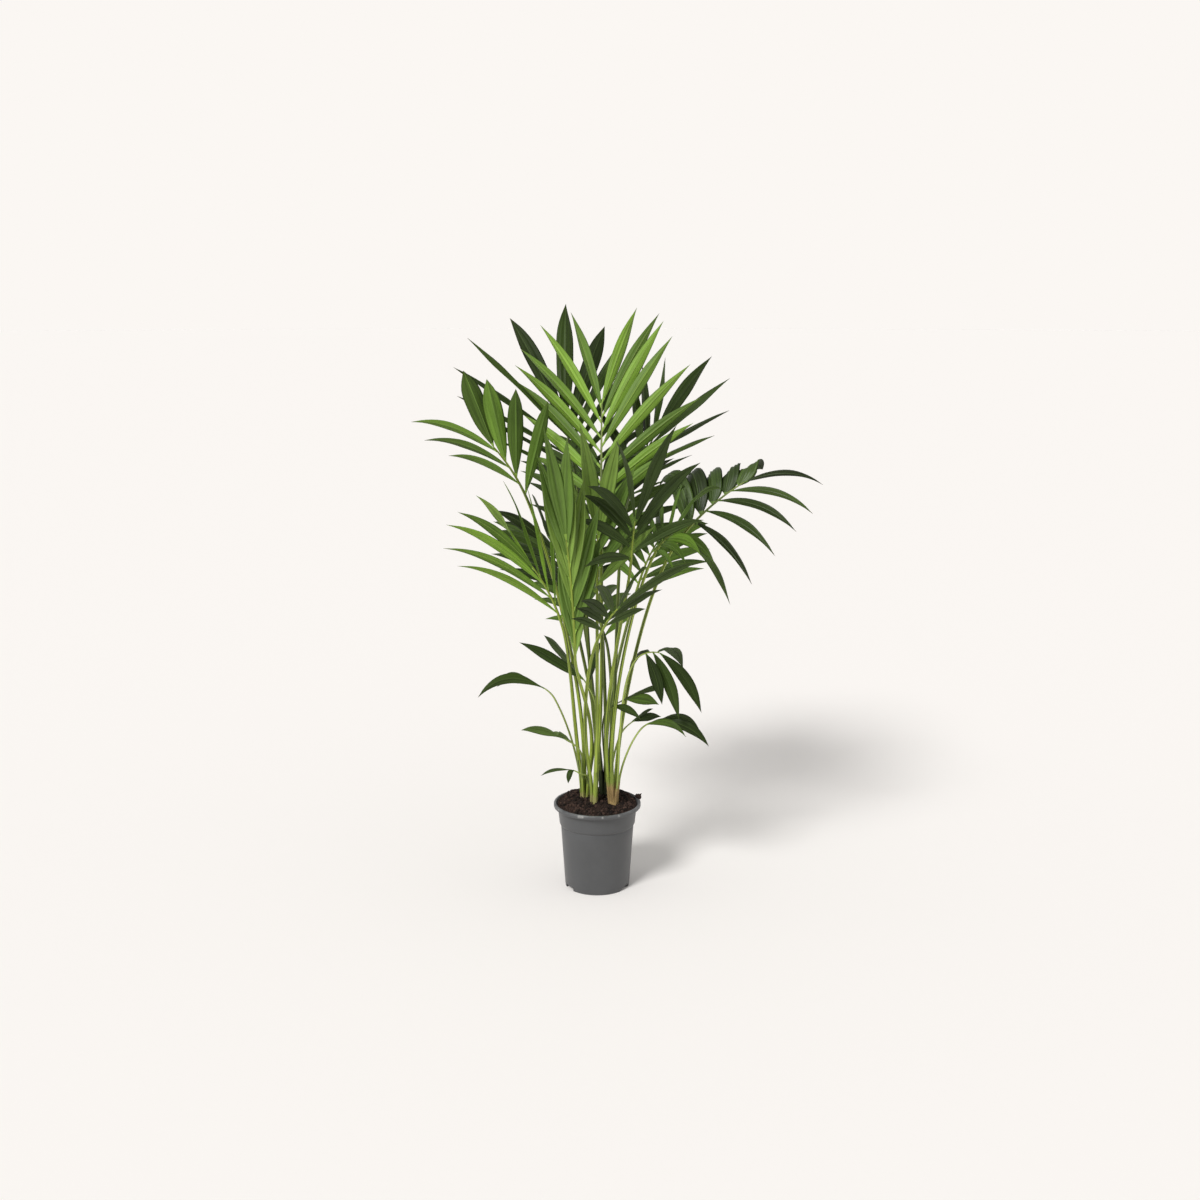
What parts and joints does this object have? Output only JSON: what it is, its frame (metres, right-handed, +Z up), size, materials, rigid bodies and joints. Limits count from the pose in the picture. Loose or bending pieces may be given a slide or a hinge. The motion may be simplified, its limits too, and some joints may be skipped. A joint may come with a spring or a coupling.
{
  "type": "potted kentia palm",
  "caption": "Kentia palm, a clump of slender green stalks with arching feathered fronds, growing in a round grey nursery pot.",
  "frame": {"origin": "middle of the pot's flat underside", "axes": "+Z up the plant, -Y the front of the clump as pictured, +X to the right seen from the front"},
  "size_m": [0.8526, 0.8533, 1.2484],
  "materials": {
    "pot_plastic": "satin",
    "potting_soil": "matte",
    "stem_green": "satin",
    "stem_dark": "matte",
    "stem_husk": "matte",
    "stalk": "satin",
    "leaf_bright": "satin",
    "leaf_mid": "satin",
    "leaf_dark": "satin",
    "leaf_glossy": "satin"
  },
  "bodies": {
    "root": {"pot": "pot_plastic", "soil": "potting_soil", "stem_left": "stem_green", "stem_middle": "stem_green", "stem_back": "stem_dark", "stem_right": "stem_husk", "stalk_crown_front": "stalk", "frond_crown_front": "leaf_bright", "stalk_crown_back": "stalk", "frond_crown_back": "leaf_dark", "stalk_left_high": "stalk", "frond_left_high": "leaf_mid", "stalk_right": "stalk", "frond_right": "leaf_glossy", "stalk_right_back": "stalk", "frond_right_back": "leaf_dark", "stalk_left_low": "stalk", "frond_left_low": "leaf_bright", "stalk_young_front": "stalk", "frond_young_front": "leaf_bright", "stalk_centre": "stalk", "frond_centre": "leaf_bright", "stalk_right_front": "stalk", "frond_right_front": "leaf_dark", "stalk_right_low": "stalk", "frond_right_low": "leaf_mid", "stalk_front_low": "stalk", "frond_front_low": "leaf_dark", "stalk_left_back": "stalk", "frond_left_back": "leaf_glossy", "stalk_rear": "stalk", "frond_rear": "leaf_dark", "stalk_rear_left": "stalk", "frond_rear_left": "leaf_dark", "stalk_rear_right": "stalk", "frond_rear_right": "leaf_mid", "stalk_rear_low": "stalk", "frond_rear_low": "leaf_mid", "stalk_low_left": "stalk", "frond_low_left": "leaf_dark", "stalk_low_left_back": "stalk", "frond_low_left_back": "leaf_dark", "stalk_low_front": "stalk", "frond_low_front": "leaf_mid", "stalk_low_foot": "stalk", "frond_low_foot": "leaf_dark", "stalk_low_right": "stalk", "frond_low_right": "leaf_dark", "stalk_low_right_back": "stalk", "frond_low_right_back": "leaf_dark", "stalk_low_right_front": "stalk", "frond_low_right_front": "leaf_dark", "stalk_low_right_thin": "stalk", "frond_low_right_thin": "leaf_dark"}
  },
  "joints": []
}
